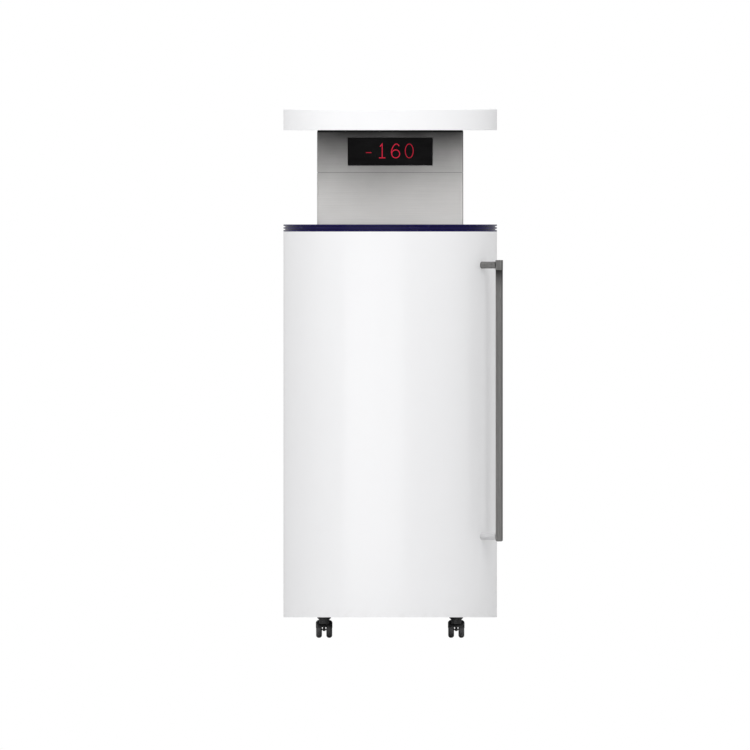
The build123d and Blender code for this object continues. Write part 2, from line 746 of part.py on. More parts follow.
def lid_leaf(x):
    """The moving leaf: a plate under the lid and the middle knuckle."""
    half = HINGE_W / 6 - KNUCKLE_GAP / 2
    low, high = MOUTH_Z - LEAF_T, MOUTH_Z
    leaf = block((x - HINGE_W / 2, HINGE_Y - 5, low), (x + HINGE_W / 2, HINGE_Y + LID_LEAF_REACH, high))
    leaf += block((x - half, HINGE_Y - 4.5, HINGE_Z), (x + half, HINGE_Y + 4.5, high))
    leaf += hinge_bar(KNUCKLE_R, x - half, x + half)
    leaf -= pin_bore(x)
    for dx in (-HINGE_SCREW_DX, HINGE_SCREW_DX):
        leaf -= Pos(x + dx, HINGE_Y + LID_SCREW_REACH, high) * Cylinder(PAN_SHANK_R + SCREW_CLEAR, 10)
    return leaf


def hinge_frame_leaves():
    return group(frame_leaf(x) for x in (-HINGE_X, HINGE_X))


def hinge_lid_leaves():
    return group(lid_leaf(x) for x in (-HINGE_X, HINGE_X))


def hinge_pins():
    """Pins with a head at each end, fixed in the outer knuckles."""
    pins = []
    for x in (-HINGE_X, HINGE_X):
        a, b = x - HINGE_W / 2, x + HINGE_W / 2
        heads = hinge_bar(PIN_R + 1.2, a - 2, a - 0.2) + hinge_bar(PIN_R + 1.2, b + 0.2, b + 2)
        pins.append(hinge_bar(PIN_R, a - 2, b + 2) + heads)
    return group(pins)


def hinge_frame_screws():
    y, z = NECK_HALF + LEAF_T, HINGE_Z - FRAME_SCREW_DROP
    return group(Pos(x, y, z) * Rot(90, 0, 0) * pan_screw(LEAF_T) for x in hinge_screw_x())


def lid_stops():
    """Rubber buttons on the head's rear wall, which the open lid leans on."""
    stops = []
    for x in (-STOP_X, STOP_X):
        z = HINGE_Z - STOP_BELOW
        stop = round_bar(STOP_R, (x, NECK_HALF, z), (x, NECK_HALF + STOP_LENGTH, z))
        stops.append(fillet(stop.edges().sort_by(Axis.Y)[-1], 3.0))
    return group(stops)


# ---------------------------------------------------------------- grip bar


def grip_bar():
    top = GRIP_TOP_Z - GRIP_BLOCK_H
    r = GRIP_R
    bar = block((r - GRIP_DEPTH / 2, -GRIP_WIDTH / 2, GRIP_LOW_Z), (r + GRIP_DEPTH / 2, GRIP_WIDTH / 2, top))
    bar = fillet(bar.edges().group_by(Axis.Z)[0], 3.5)
    bar -= Pos(r, 0, 0) * disc(GRIP_SPIGOT_R, top - GRIP_SPIGOT_L - 1, top)
    bar = fillet([e for e in bar.edges().filter_by(Axis.Z) if e.length > 100], 1.2)
    return grip_place(0) * bar


def grip_block():
    half_d, half_w = GRIP_DEPTH / 2 + GRIP_BLOCK_EXTRA, GRIP_WIDTH / 2 + GRIP_BLOCK_EXTRA
    body = block((GRIP_R - half_d, -half_w, GRIP_TOP_Z - GRIP_BLOCK_H), (GRIP_R + half_d, half_w, GRIP_TOP_Z))
    body = fillet(body.edges().filter_by(Axis.Z), 1.2)
    body = fillet(body.edges().group_by(Axis.Z)[-1], 0.8)
    low = GRIP_TOP_Z - GRIP_BLOCK_H
    body += Pos(GRIP_R, 0, 0) * disc(GRIP_SPIGOT_R - 0.02, low - GRIP_SPIGOT_L, low)
    return grip_place(0) * body


def grip_post(z, reach):
    """A round post from the cabinet's wall out to a given radius, with a threaded hole."""
    bar = round_bar(POST_R, (BODY_R - 6, 0, 0), (reach, 0, 0))
    bar -= round_bar(SCREW_R, (0, 0, 0), (BODY_R + POST_SCREW_REACH + 2, 0, 0))
    return grip_place(z) * bar - disc(BODY_R + 0.05, z - 20, z + 20)


def grip_post_upper():
    return grip_post(POST_HIGH_Z, GRIP_R - GRIP_DEPTH / 2 - GRIP_BLOCK_EXTRA)


def grip_post_lower():
    return grip_post(POST_LOW_Z, GRIP_R - GRIP_DEPTH / 2)


def grip_screws():
    """Hex screws with washers, driven from inside the wall into the posts."""
    washer_r = BODY_R - SHELL_T - 0.4
    head_r = washer_r - POST_WASHER_T
    screw = round_bar(POST_WASHER_R, (head_r, 0, 0), (washer_r, 0, 0))
    screw += round_bar(SCREW_R - 0.02, (head_r, 0, 0), (BODY_R + POST_SCREW_REACH, 0, 0))
    hexagon = Plane(origin=(head_r, 0, 0), z_dir=(-1, 0, 0)) * RegularPolygon(POST_HEAD_R, 6)
    screw += extrude(hexagon, amount=POST_HEAD_H)
    return group(grip_place(z) * screw for z in (POST_LOW_Z, POST_HIGH_Z))


# ---------------------------------------------------------------- casters


def caster_place(k):
    """A caster's frame: the origin is on the floor, on the swivel axis."""
    sx, sy = CASTER_SIGNS[k]
    return Pos(sx * CASTER_XY, sy * CASTER_XY, 0)


def caster_mounts():
    """The fixed half of each caster: a tapered flange with a lip, a threaded stem and a kingpin."""
    top = BASE_Z + BASE_RECESS
    cone_top = MOUNT_LOW_Z + FLANGE_CONE_H
    flange = cone_bar(FLANGE_LOW_R, FLANGE_R, MOUNT_LOW_Z, cone_top) + disc(FLANGE_R, cone_top, top)
    lip_low = MOUNT_LOW_Z - SWIVEL_LIP_H
    flange += disc(FLANGE_LOW_R, lip_low, MOUNT_LOW_Z)
    flange -= disc(FLANGE_LOW_R - SWIVEL_LIP_T, lip_low - 1, MOUNT_LOW_Z)
    stem = disc(STEM_R, top, top + BASE_T + STEM_NUT_H)
    mount = flange + stem + disc(KINGPIN_R, KINGPIN_LOW_Z, MOUNT_LOW_Z)
    return group(caster_place(k) * mount for k in range(len(CASTER_SIGNS)))


def caster_nuts():
    low = BASE_Z + BASE_RECESS + BASE_T
    washer = disc(WASHER_R, low, low + WASHER_T)
    nut = extrude(Pos(0, 0, low + WASHER_T) * RegularPolygon(NUT_R, 6), amount=NUT_H)
    ring = washer + nut - disc(STEM_R + 0.02, low - 1, low + WASHER_T + NUT_H + 1)
    return group(caster_place(k) * ring for k in range(len(CASTER_SIGNS)))


def axle_bar(radius, half_length):
    return round_bar(radius, (-half_length, TRAIL, WHEEL_R), (half_length, TRAIL, WHEEL_R))


def hood_body(grow, half, shoulder_r):
    """A rounded roller over both wheels, the hood's outline from outside or from inside."""
    roller = axle_bar(WHEEL_R + grow, half)
    return fillet(roller.edges().filter_by(GeomType.CIRCLE), shoulder_r)


def caster_fork():
    """The swivelling half: a hood over both wheels, a swivel head and a web that holds the axle."""
    half = WHEEL_GAP / 2 + WHEEL_W
    room = hood_body(HOOD_CLEAR, half + HOOD_CLEAR, WHEEL_EDGE_R + HOOD_CLEAR)
    solid = hood_body(HOOD_CLEAR + HOOD_T, half + HOOD_CLEAR, HOOD_SHOULDER_R)
    reach = 3 * WHEEL_R
    angles = (HOOD_REAR, (HOOD_REAR + HOOD_FRONT) / 2, HOOD_FRONT)
    rays = [(reach * cos(radians(a)), reach * sin(radians(a))) for a in angles]
    sector = Polygon((0, 0), *rays, align=None)
    side = Plane(origin=(-2 * half, TRAIL, WHEEL_R), x_dir=(0, 1, 0), z_dir=(1, 0, 0))
    hood = (solid - room) & extrude(side * sector, amount=4 * half)
    web_side = Plane(origin=(-WEB_T / 2, TRAIL, WHEEL_R), x_dir=(0, 1, 0), z_dir=(1, 0, 0))
    web = extrude(web_side * ((Circle(WHEEL_R + 2 * HOOD_CLEAR) & sector) + Circle(WEB_HUB_R)), amount=WEB_T)
    shoulder = MOUNT_LOW_Z - SWIVEL_LIP_H - SWIVEL_GAP
    head = disc(SWIVEL_HEAD_R, SWIVEL_HEAD_LOW_Z, shoulder) - room
    head += disc(FLANGE_LOW_R - SWIVEL_LIP_T - SWIVEL_GAP, shoulder, MOUNT_LOW_Z - SWIVEL_GAP)
    fork = hood + web + head
    fork -= disc(KINGPIN_R + RUNNING_CLEAR, KINGPIN_LOW_Z - 1, MOUNT_LOW_Z)
    return fork - axle_bar(AXLE_R, half)


def caster_axle():
    return axle_bar(AXLE_R, WHEEL_GAP / 2 + WHEEL_W - AXLE_INSET)


def caster_wheel(side):
    """One wheel of the pair: a rounded tread, a dished outer face and a blind-bored hub."""
    profile = RectangleRounded(WHEEL_W, 2 * WHEEL_R, WHEEL_EDGE_R)
    wheel = revolve(profile & (Pos(0, WHEEL_R) * Rectangle(WHEEL_W, 2 * WHEEL_R)), axis=Axis.X)
    dish = Cylinder(DISH_R, 2 * DISH_DEPTH) - Cylinder(HUB_R, 2 * DISH_DEPTH)
    wheel -= Pos(WHEEL_W / 2, 0, 0) * Rot(0, 90, 0) * dish
    wheel -= Rot(0, 90, 0) * Cylinder(AXLE_R + RUNNING_CLEAR, 2 * (WHEEL_W / 2 - AXLE_INSET))
    wheel -= Pos(-WHEEL_W / 2, 0, 0) * Rot(0, 90, 0) * Cylinder(AXLE_R + RUNNING_CLEAR, 2 * AXLE_INSET + 1)
    turned = wheel if side > 0 else Rot(0, 0, 180) * wheel
    return Pos(side * (WHEEL_GAP + WHEEL_W) / 2, TRAIL, WHEEL_R) * turned


PARTS = {
    "base_plate": base_plate,
    "outer_shell": outer_shell,
    "trim_ring": trim_ring,
    "top_deck": top_deck,
    "deck_screws": deck_screws,
    "vessel_pad": vessel_pad,
    "outer_vessel": outer_vessel,
    "inner_vessel": inner_vessel,
    "insulation_wrap": insulation_wrap,
    "adsorbent_pack": adsorbent_pack,
    "evacuation_valve": evacuation_valve,
    "neck_tube": neck_tube,
    "neck_flange": neck_flange,
    "neck_sleeve": neck_sleeve,
    "seam_frame": seam_frame,
    "display_head": display_head,
    "mouth_collar": mouth_collar,
    "mouth_gasket": mouth_gasket,
    "index_ring": index_ring,
    "storage_racks": racks,
    "display_panel": display_panel,
    "display_digits": display_digits,
    "display_board": display_board,
    "power_inlet": power_inlet,
    "temperature_probe": temperature_probe,
    "probe_cable": probe_cable,
    "hinge_frame_leaves": hinge_frame_leaves,
    "hinge_frame_screws": hinge_frame_screws,
    "hinge_pins": hinge_pins,
    "lid_stops": lid_stops,
    "lid_cover": lid_cover,
    "lid_foam": lid_foam,
    "lid_base": lid_base,
    "lid_screws": lid_screws,
    "neck_plug": neck_plug,
    "plug_foam": plug_foam,
    "hinge_lid_leaves": hinge_lid_leaves,
    "grip_bar": grip_bar,
    "grip_block": grip_block,
    "grip_post_upper": grip_post_upper,
    "grip_post_lower": grip_post_lower,
    "grip_screws": grip_screws,
    "caster_mounts": caster_mounts,
    "caster_nuts": caster_nuts,
}


def caster_nodes():
    """The moving pieces of the four casters, by node name."""
    pieces = {}
    for k in range(len(CASTER_SIGNS)):
        place, name = caster_place(k), f"caster_{k + 1}"
        pieces[f"{name}_fork"] = place * caster_fork()
        pieces[f"{name}_axle"] = place * caster_axle()
        pieces[f"{name}_wheel_left"] = place * caster_wheel(-1)
        pieces[f"{name}_wheel_right"] = place * caster_wheel(1)
    return pieces


os.makedirs("parts", exist_ok=True)
shapes = {name: make() for name, make in PARTS.items()}
shapes.update(caster_nodes())
for name, shape in shapes.items():
    export_step(shape, f"parts/{name}.step")
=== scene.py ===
import json
from math import cos, pi, radians, sin, sqrt

import bpy
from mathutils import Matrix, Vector


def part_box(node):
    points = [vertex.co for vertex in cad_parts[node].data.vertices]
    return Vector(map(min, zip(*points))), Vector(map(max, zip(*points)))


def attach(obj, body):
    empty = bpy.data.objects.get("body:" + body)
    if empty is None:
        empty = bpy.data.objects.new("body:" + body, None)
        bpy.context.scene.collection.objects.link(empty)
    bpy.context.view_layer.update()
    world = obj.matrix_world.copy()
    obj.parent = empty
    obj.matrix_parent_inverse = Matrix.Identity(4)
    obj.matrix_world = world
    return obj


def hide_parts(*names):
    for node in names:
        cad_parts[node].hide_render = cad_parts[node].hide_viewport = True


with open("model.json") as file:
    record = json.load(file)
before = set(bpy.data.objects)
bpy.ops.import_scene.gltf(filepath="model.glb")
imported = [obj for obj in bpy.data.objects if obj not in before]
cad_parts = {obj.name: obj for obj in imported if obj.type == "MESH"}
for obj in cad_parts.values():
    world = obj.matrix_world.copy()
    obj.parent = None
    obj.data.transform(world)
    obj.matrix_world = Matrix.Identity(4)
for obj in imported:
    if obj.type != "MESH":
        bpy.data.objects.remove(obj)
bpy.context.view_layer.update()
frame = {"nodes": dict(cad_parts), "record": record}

# Lengths are in metres. Places come from the frame's boxes.
MM = 0.001
WHITE = (1.0, 1.0, 1.0, 1.0)
PAINT_TONE = 0.83

# Dust lies on the paint below the first height and fades out by the second
DUST_FULL = 0.05
DUST_END = 0.075

# Painted shade on the neck housing in place of the lid's shadow, darkest at the mouth under the lid
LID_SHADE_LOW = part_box("neck_sleeve")[0].z
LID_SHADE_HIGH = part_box("lid_cover")[0].z
LID_SHADE_POWER = 1.6
LID_SHADE_DEPTH = 0.92

# Painted shadow on the bar: it is darkened just under its block, where the block's shadow falls
BLOCK_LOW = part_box("grip_bar")[1].z
BLOCK_SHADOW_LENGTH = 0.052

# The mouth seal: a base strip with round ribs, in millimetres from its outer edge
SEAL_W = 22
SEAL_BASE = 1.2
SEAL_RIBS = (2.6, 11.0, 19.4)
SEAL_RIB_HALF = 2.6
SEAL_CORNER = 4.0
SEAL_CORNER_STEPS = 6

# The lit digits: the row's middle, and how far from it they start and finish growing dull
DIGITS_MIDDLE = -0.003
DIGITS_BRIGHT_HALF = 0.028
DIGITS_DULL_HALF = 0.04

# The foil wrap: the size of its mesh, and the depth and the size of its folds
WRAP_VOXEL = 0.007
WRAP_CRINKLE = 0.003
WRAP_FOLD = 0.05

# The front camera: the width it sees, and its place
VIEW_WIDTH = 1.7907
VIEW_PLACE = (-0.0363, -6.0, 0.6275)
VIEW_REACH = 60.0

FLOOR_SIZE = 14.0
FLOOR_TONE = 0.80

# How bright the surround looks to the object, in front of it and behind it. The change between the two
# lies within this range of the direction's Y.
FRONT_LEVEL = 0.45
BACK_LEVEL = 0.68
FRONT_Y = 0.1
BACK_Y = 0.7

# Each softbox: name, place, aim, width, height, power
SOFTBOXES = [
    ("left", (-3.0, -0.8, 2.4), (0.0, 0.0, 0.9), 1.6, 2.0, 31.0),
    ("front", (1.6, -3.2, 2.6), (0.0, 0.0, 0.8), 1.6, 1.6, 36.0),
    ("top", (0.0, -1.2, 4.4), (0.0, -0.2, 1.0), 2.6, 2.6, 78.0),
    ("panel", (-1.1, -3.6, 0.55), (0.0, 0.0, 0.5), 4.6, 0.9, 17.5),
    ("right", (3.0, -0.6, 2.6), (0.0, 0.0, 1.0), 1.6, 1.6, 6.0),
]


# ---------------------------------------------------------------- materials


class Surface:
    """A principled material, with short calls that add texture nodes to it."""

    def __init__(self, name, color, roughness, **sockets):
        self.material = bpy.data.materials.new(name)
        self.material.use_nodes = True
        self.tree = self.material.node_tree
        self.shader = self.tree.nodes["Principled BSDF"]
        self.shader.inputs["Base Color"].default_value = (*color, 1.0)
        self.shader.inputs["Roughness"].default_value = roughness
        for socket, value in sockets.items():
            self.shader.inputs[socket.replace("_", " ").title().replace("Ior", "IOR")].default_value = value

    def node(self, kind, **inputs):
        made = self.tree.nodes.new(kind)
        for name, value in inputs.items():
            self.feed(made.inputs[name], value)
        return made

    def feed(self, socket, value):
        """Sets a socket to a number or colour, or links another node's output to it."""
        if isinstance(value, bpy.types.NodeSocket):
            self.tree.links.new(value, socket)
        else:
            socket.default_value = value

    def place(self, stretch=(1.0, 1.0, 1.0), turn=(0.0, 0.0, 0.0)):
        """The object's own coordinates, in metres, stretched and turned."""
        here = self.node("ShaderNodeTexCoord").outputs["Object"]
        mapping = self.node("ShaderNodeMapping", Vector=here, Scale=stretch, Rotation=turn)
        return mapping.outputs["Vector"]

    def noise(self, scale, stretch=(1.0, 1.0, 1.0), detail=3.0, roughness=0.5):
        made = self.node("ShaderNodeTexNoise", Vector=self.place(stretch), Scale=scale)
        made.inputs["Detail"].default_value = detail
        made.inputs["Roughness"].default_value = roughness
        return made.outputs["Fac"]

    def height(self):
        """The object's Z coordinate."""
        return self.node("ShaderNodeSeparateXYZ", Vector=self.place()).outputs["Z"]

    def spread(self, value, low, high, out_low, out_high):
        """A value remapped from one range to another, held at the ends."""
        made = self.tree.nodes.new("ShaderNodeMapRange")
        for socket, given in zip(made.inputs, (value, low, high, out_low, out_high)):
            self.feed(socket, given)
        return made.outputs["Result"]

    def math(self, operation, a, b):
        made = self.tree.nodes.new("ShaderNodeMath")
        made.operation = operation
        self.feed(made.inputs[0], a)
        self.feed(made.inputs[1], b)
        return made.outputs["Value"]

    def mix(self, factor, first, second):
        made = self.tree.nodes.new("ShaderNodeMix")
        made.data_type = "RGBA"
        self.feed(made.inputs["Factor"], factor)
        for socket, colour in ((made.inputs[6], first), (made.inputs[7], second)):
            self.feed(socket, (*colour, 1.0) if isinstance(colour, tuple) else colour)
        return made.outputs[2]

    def tint(self, colour):
        self.feed(self.shader.inputs["Base Color"], colour)

    def gloss(self, value):
        self.feed(self.shader.inputs["Roughness"], value)

    def relief(self, height, depth, strength=1.0):
        """A bump of a given depth in metres."""
        bump = self.node("ShaderNodeBump", Height=height, Distance=depth, Strength=strength)
        self.feed(self.shader.inputs["Normal"], bump.outputs["Normal"])


def shade(color, factor):
    return tuple(channel * factor for channel in color)


def white_paint(name="white_paint", roughness=0.3, coat=0.4, tone=PAINT_TONE):
    """Powder coat: faint orange peel and tone drift, and a little dust along the lowest edge."""
    base = (tone, tone, tone * 1.012)
    s = Surface(name, base, roughness, coat_weight=coat, coat_roughness=0.12)
    tone = s.mix(s.spread(s.noise(2.0, detail=1.0), 0.3, 0.7, 0.0, 1.0), base, shade(base, 0.992))
    low = s.spread(s.height(), DUST_FULL, DUST_END, 1.0, 0.0)
    dust = s.math("MULTIPLY", low, s.spread(s.noise(60.0, detail=5.0), 0.45, 0.75, 0.0, 0.2))
    s.tint(s.mix(dust, tone, (0.60, 0.59, 0.57)))
    s.gloss(s.spread(s.noise(2.5, detail=1.0), 0.3, 0.7, roughness, roughness + 0.03))
    s.relief(s.noise(330.0, detail=1.0), 0.00006, 0.25)
    return s.material


def grey_paint():
    """Grey powder coat, slightly cloudy."""
    base = (0.30, 0.31, 0.33)
    s = Surface("grey_paint", base, 0.42)
    s.tint(s.mix(s.spread(s.noise(7.0, detail=5.0), 0.3, 0.7, 0.0, 1.0), base, shade(base, 0.86)))
    s.gloss(s.spread(s.noise(30.0, detail=3.0), 0.3, 0.7, 0.36, 0.5))
    s.relief(s.noise(700.0, detail=2.0), 0.00012, 0.5)
    return s.material


def navy_trim():
    """Extruded gloss plastic with fine lines along its length and a few scuffs."""
    base = (0.0095, 0.0065, 0.062)
    s = Surface("navy_trim", base, 0.32, specular_ior_level=0.14)
    scuff = s.spread(s.noise(60.0, stretch=(1.0, 1.0, 6.0), detail=6.0), 0.62, 0.74, 0.0, 0.5)
    s.tint(s.mix(scuff, base, (0.05, 0.048, 0.12)))
    s.gloss(s.spread(s.noise(25.0, detail=4.0), 0.3, 0.7, 0.16, 0.3))
    s.relief(s.noise(40.0, stretch=(1.0, 1.0, 40.0)), 0.00008, 0.4)
    return s.material


def brushed_steel(name="brushed_steel", grain_stretch=140.0, tone=0.66, lid_shade_depth=0.0):
    """Steel with a straight grain: fine streaks, and cloudy handling marks. A painted shade for the lid's
    shadow can darken it upwards.
    """
    base = (tone, tone * 0.985, tone * 0.97)
    s = Surface(name, base, 0.48, metallic=1.0, anisotropic=0.85, anisotropic_rotation=0.25)
    stretch = (1.0, 1.0, grain_stretch)
    streaks = s.noise(5.0, stretch=stretch, detail=8.0, roughness=0.72)
    fine = s.noise(14.0, stretch=stretch, detail=6.0, roughness=0.8)
    clouds = s.noise(5.5, detail=4.0)
    grain = s.math("ADD", s.math("MULTIPLY", streaks, 0.6), s.math("MULTIPLY", fine, 0.4))
    toned = s.mix(s.spread(grain, 0.35, 0.65, 0.0, 1.0), shade(base, 0.89), shade(base, 1.07))
    toned = s.mix(s.spread(clouds, 0.4, 0.75, 0.0, 0.35), toned, shade(base, 0.9))
    height = s.math("ADD", s.height(), s.spread(clouds, 0.3, 0.7, -0.01, 0.01))
    # painted shade: the steel darkens towards the lid's underside, standing in for the lid's shadow
    lid_shade = s.math("POWER", s.spread(height, LID_SHADE_LOW, LID_SHADE_HIGH, 0.0, 1.0), LID_SHADE_POWER)
    s.tint(s.mix(s.math("MULTIPLY", lid_shade, lid_shade_depth), toned, shade(base, 0.0)))
    s.gloss(s.math("ADD", s.spread(clouds, 0.3, 0.7, 0.0, 0.1), s.spread(grain, 0.3, 0.7, 0.4, 0.5)))
    s.relief(grain, 0.00009, 0.6)
    tangent = s.tree.nodes.new("ShaderNodeTangent")
    tangent.direction_type = "RADIAL"
    tangent.axis = "Z"
    s.feed(s.shader.inputs["Tangent"], tangent.outputs["Tangent"])
    return s.material


def bright_zinc():
    """Zinc-plated screws with duller patches."""
    base = (0.60, 0.60, 0.60)
    s = Surface("bright_zinc", base, 0.28, metallic=1.0)
    s.tint(s.mix(s.spread(s.noise(160.0, detail=5.0), 0.35, 0.7, 0.0, 1.0), base, (0.42, 0.41, 0.39)))
    s.gloss(s.spread(s.noise(240.0, detail=4.0), 0.3, 0.7, 0.2, 0.42))
    s.relief(s.noise(900.0, detail=2.0), 0.00005, 0.5)
    return s.material


def dull_metal(name, tone, grain=(1.0, 1.0, 0.02), roughness=0.4):
    """Satin aluminium or plated steel, drawn along one direction."""
    base = (tone, tone * 0.985, tone * 0.965)
    s = Surface(name, base, roughness, metallic=1.0)
    lines = s.noise(420.0, stretch=grain, detail=4.0)
    blotch = s.noise(18.0, detail=5.0)
    toned = s.mix(s.spread(lines, 0.35, 0.65, 0.0, 1.0), shade(base, 0.88), shade(base, 1.1))
    s.tint(s.mix(s.spread(blotch, 0.5, 0.8, 0.0, 0.4), toned, shade(base, 0.8)))
    s.gloss(s.spread(blotch, 0.3, 0.7, roughness - 0.07, roughness + 0.09))
    s.relief(lines, 0.00006, 0.5)
    return s.material


def bar_metal(name="bar_metal", block_shadow_depth=0.0):
    """Grey anodised aluminium. The bar itself carries a painted shadow, darker just under its block."""
    base = (0.22, 0.217, 0.212)
    s = Surface(name, base, 0.42, metallic=1.0)
    lines = s.noise(420.0, stretch=(1.0, 1.0, 0.02), detail=4.0)
    toned = s.mix(s.spread(lines, 0.35, 0.65, 0.0, 1.0), shade(base, 0.88), shade(base, 1.1))
    # painted shadow: the bar's colour darkens towards the block above it
    near = s.spread(s.height(), BLOCK_LOW - BLOCK_SHADOW_LENGTH, BLOCK_LOW, 0.0, 1.0)
    dark = s.math("MULTIPLY", s.math("POWER", near, 1.6), block_shadow_depth)
    s.tint(s.mix(dark, toned, shade(base, 0.08)))
    s.gloss(s.spread(s.noise(18.0, detail=5.0), 0.3, 0.7, 0.36, 0.5))
    s.relief(lines, 0.00006, 0.5)
    return s.material


def black_rubber():
    """Matt black rubber with greyer patches."""
    base = (0.004, 0.004, 0.0045)
    s = Surface("black_rubber", base, 0.7, specular_ior_level=0.2)
    s.tint(s.mix(s.spread(s.noise(90.0, detail=6.0), 0.5, 0.75, 0.0, 0.4), base, (0.02, 0.02, 0.019)))
    s.gloss(s.spread(s.noise(50.0), 0.3, 0.7, 0.5, 0.72))
    s.relief(s.noise(1400.0, detail=2.0), 0.00008, 0.6)
    return s.material


def screen_plastic():
    """Black acrylic with wipe marks."""
    base = (0.0012, 0.001, 0.0012)
    s = Surface("screen_plastic", base, 0.12, specular_ior_level=0.12)
    wiped = s.noise(22.0, stretch=(0.5, 1.0, 2.2), detail=6.0, roughness=0.65)
    s.tint(s.mix(s.spread(wiped, 0.55, 0.8, 0.0, 0.25), base, (0.006, 0.006, 0.007)))
    s.gloss(s.spread(wiped, 0.35, 0.7, 0.08, 0.2))
    s.relief(s.noise(500.0), 0.00002, 0.3)
    return s.material


def red_light():
    """Lit digits with the LEDs' uneven light, dull at both ends of the row."""
    s = Surface("red_light", (0.12, 0.003, 0.008), 0.35, specular_ior_level=0.1)
    along = s.node("ShaderNodeSeparateXYZ", Vector=s.place()).outputs["X"]
    from_middle = s.math("ABSOLUTE", s.math("SUBTRACT", along, DIGITS_MIDDLE), 0.0)
    dull = s.spread(from_middle, DIGITS_BRIGHT_HALF, DIGITS_DULL_HALF, 0.0, 0.6)
    uneven = s.spread(s.noise(260.0, detail=2.0), 0.3, 0.7, 0.0, 0.3)
    fade = s.math("ADD", dull, uneven)
    s.feed(s.shader.inputs["Emission Color"], s.mix(fade, (0.62, 0.016, 0.05), (0.22, 0.004, 0.014)))
    s.shader.inputs["Emission Strength"].default_value = 0.9
    s.relief(s.noise(900.0), 0.00004, 0.4)
    return s.material


def plastic(name, base, roughness=0.45, grain=900.0, fleck=0.85):
    """Moulded plastic with a fine spark-eroded texture."""
    s = Surface(name, base, roughness)
    s.tint(s.mix(s.spread(s.noise(25.0, detail=5.0), 0.35, 0.7, 0.0, 1.0), base, shade(base, fleck)))
    s.gloss(s.spread(s.noise(60.0, detail=3.0), 0.3, 0.7, roughness - 0.08, roughness + 0.1))
    s.relief(s.noise(grain, detail=2.0), 0.0001, 0.6)
    return s.material


def neck_laminate():
    """Glass cloth in resin: a woven check under a clear, slightly uneven skin."""
    base = (0.42, 0.40, 0.22)
    s = Surface("neck_laminate", base, 0.3, coat_weight=0.5, coat_roughness=0.15)
    check = s.node("ShaderNodeTexChecker", Vector=s.place(), Scale=420.0)
    weave = s.math("ADD", s.math("MULTIPLY", check.outputs["Fac"], 0.5), s.noise(35.0, detail=6.0))
    s.tint(s.mix(s.spread(weave, 0.3, 1.0, 0.0, 1.0), shade(base, 0.75), shade(base, 1.15)))
    s.gloss(s.spread(s.noise(45.0, detail=4.0), 0.3, 0.7, 0.22, 0.42))
    s.relief(weave, 0.00012, 0.5)
    return s.material


def insulation_foil():
    """Aluminised film over thin spacer cloth, crinkled."""
    base = (0.72, 0.72, 0.74)
    s = Surface("insulation_foil", base, 0.2, metallic=1.0)
    crinkle = s.noise(38.0, detail=9.0, roughness=0.7)
    # painted shade: the foil's colour is darker in the crinkle's hollows
    s.tint(s.mix(s.spread(crinkle, 0.35, 0.65, 0.0, 1.0), shade(base, 0.7), base))
    s.gloss(s.spread(crinkle, 0.3, 0.7, 0.12, 0.4))
    s.relief(crinkle, 0.002, 0.8)
    return s.material


def foam():
    """Closed-cell rigid foam: small cells, slightly yellowed."""
    base = (0.72, 0.64, 0.40)
    s = Surface("foam", base, 0.85)
    cells = s.node("ShaderNodeTexVoronoi", Vector=s.place(), Scale=900.0)
    s.tint(s.mix(s.spread(s.noise(12.0, detail=5.0), 0.3, 0.7, 0.0, 1.0), base, shade(base, 0.82)))
    s.gloss(s.spread(s.noise(70.0), 0.3, 0.7, 0.78, 0.95))
    s.relief(cells.outputs["Distance"], 0.0004, 0.8)
    return s.material


def board_laminate():
    """A green circuit board with a faint pattern of tracks."""
    base = (0.012, 0.10, 0.035)
    s = Surface("board_laminate", base, 0.3)
    tracks = s.node("ShaderNodeTexBrick", Vector=s.place(turn=(pi / 2, 0.0, 0.0)), Scale=110.0)
    s.tint(s.mix(s.spread(tracks.outputs["Fac"], 0.0, 1.0, 0.0, 0.6), base, (0.03, 0.2, 0.08)))
    s.gloss(s.spread(s.noise(80.0), 0.3, 0.7, 0.22, 0.4))
    s.relief(tracks.outputs["Fac"], 0.0001, 0.6)
    return s.material


def wear(node, material):
    """Gives one object a material in place of what it has."""
    node.data.materials.clear()
    node.data.materials.append(material)


def dress(material, *slots):
    """Gives a material to every CAD node of the named record slots."""
    for part in frame["record"]["subparts"]:
        if part["material_slot"] in slots:
            wear(frame["nodes"][part["node"]], material)


